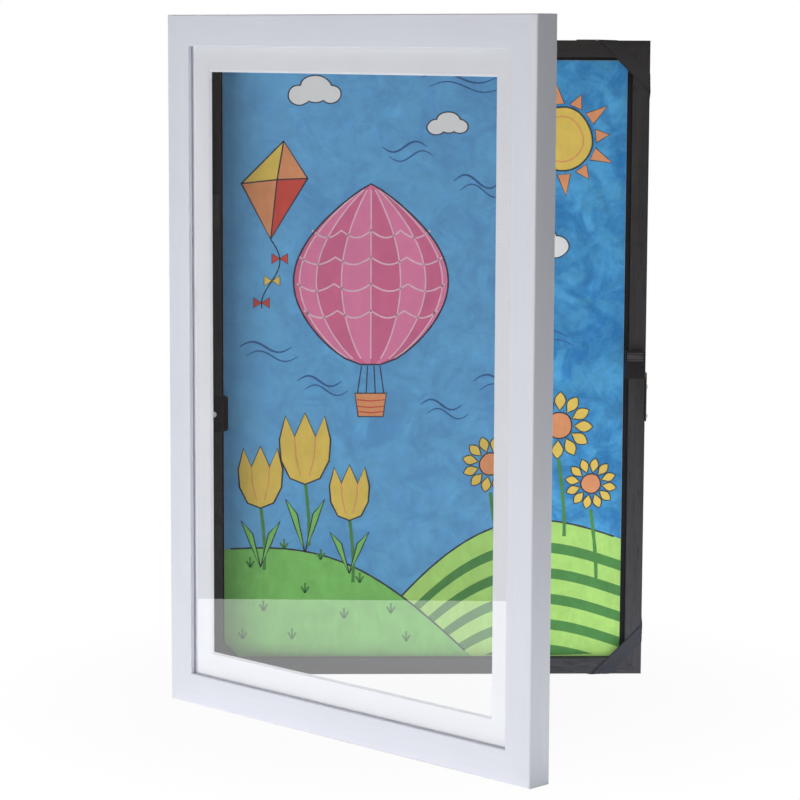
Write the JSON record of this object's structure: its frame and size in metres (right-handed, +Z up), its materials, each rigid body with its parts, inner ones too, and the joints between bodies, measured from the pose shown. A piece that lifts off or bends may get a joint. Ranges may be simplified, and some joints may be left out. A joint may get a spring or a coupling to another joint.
{
  "type": "photo frame",
  "caption": "Front-opening wall frame: a shallow tray with corner straps holds a sheet behind a hinged, glazed door with a window mat.",
  "frame": {"origin": "centre of the back panel's rear face, the plane of the tray's rear", "axes": "+X to the viewer's right, -Y towards the viewer, +Y towards the wall, +Z up"},
  "size_m": [0.3641, 0.2901, 0.52],
  "materials": {
    "white_lacquer": "satin pale grey-white lacquer on wood",
    "charcoal_stain": "charcoal stained wood, matt",
    "black_board": "black board",
    "brown_panel": "brown hardboard",
    "sheet_paper": "paper painted with a picture",
    "clear_pane": "clear glazing sheet",
    "mat_board": "white mat board",
    "plain_wood": "bare softwood",
    "black_elastic": "black woven elastic",
    "staple_steel": "zinc plated steel",
    "brassed_steel": "dull yellow plated steel",
    "blackened_steel": "blackened steel",
    "black_plastic": "black plastic",
    "dark_magnet": "dark sintered magnet",
    "bright_steel": "bright steel",
    "black_rubber": "black soft pads"
  },
  "bodies": {
    "root": {"tray_rail_bottom": "charcoal_stain", "tray_rail_top": "charcoal_stain", "tray_stile_hinge": "charcoal_stain", "tray_stile_catch": "charcoal_stain", "backing_board": "black_board", "back_panel": "brown_panel", "art_sheet": "sheet_paper", "corner_strap_bottom_left": "black_elastic", "corner_strap_bottom_right": "black_elastic", "corner_strap_top_left": "black_elastic", "corner_strap_top_right": "black_elastic", "strap_staple_bottom_left_rail": "staple_steel", "strap_staple_bottom_left_stile": "staple_steel", "strap_staple_bottom_right_rail": "staple_steel", "strap_staple_bottom_right_stile": "staple_steel", "strap_staple_top_left_rail": "staple_steel", "strap_staple_top_left_stile": "staple_steel", "strap_staple_top_right_rail": "staple_steel", "strap_staple_top_right_stile": "staple_steel", "catch_screw_upper": "staple_steel", "catch_screw_lower": "staple_steel", "sheet_clip_screw": "staple_steel", "hanger_nail_left": "staple_steel", "hanger_nail_right": "staple_steel", "catch_bracket": "brassed_steel", "hanger_sawtooth": "brassed_steel", "hinge_leaf_tray_upper": "blackened_steel", "hinge_leaf_tray_lower": "blackened_steel", "hinge_screw_tray_upper_a": "blackened_steel", "hinge_screw_tray_upper_b": "blackened_steel", "hinge_screw_tray_lower_a": "blackened_steel", "hinge_screw_tray_lower_b": "blackened_steel", "hinge_pin_upper": "blackened_steel", "hinge_pin_lower": "blackened_steel", "catch_pole_upper": "blackened_steel", "catch_pole_lower": "blackened_steel", "catch_housing": "black_plastic", "sheet_clip": "black_plastic", "catch_magnet": "dark_magnet", "wall_bumper_left": "black_rubber", "wall_bumper_right": "black_rubber"},
    "door": {"door_rail_bottom": "white_lacquer", "door_rail_top": "white_lacquer", "door_stile_hinge": "white_lacquer", "door_stile_free": "white_lacquer", "glazing_pane": "clear_pane", "window_mat": "mat_board", "pane_strip_bottom": "plain_wood", "pane_strip_top": "plain_wood", "pane_strip_hinge": "plain_wood", "pane_strip_free": "plain_wood", "strike_screw": "staple_steel", "hinge_leaf_door_upper": "blackened_steel", "hinge_leaf_door_lower": "blackened_steel", "hinge_screw_door_upper_a": "blackened_steel", "hinge_screw_door_upper_b": "blackened_steel", "hinge_screw_door_lower_a": "blackened_steel", "hinge_screw_door_lower_b": "blackened_steel", "strike_plate": "bright_steel"}
  },
  "joints": [
    {"name": "door_hinge", "type": "hinge", "parent": "root", "child": "door", "pos_m": [-0.1688, -0.0177, 0], "axis": [0, 0, -1], "range_deg": [-46.3, 43.7]}
  ]
}
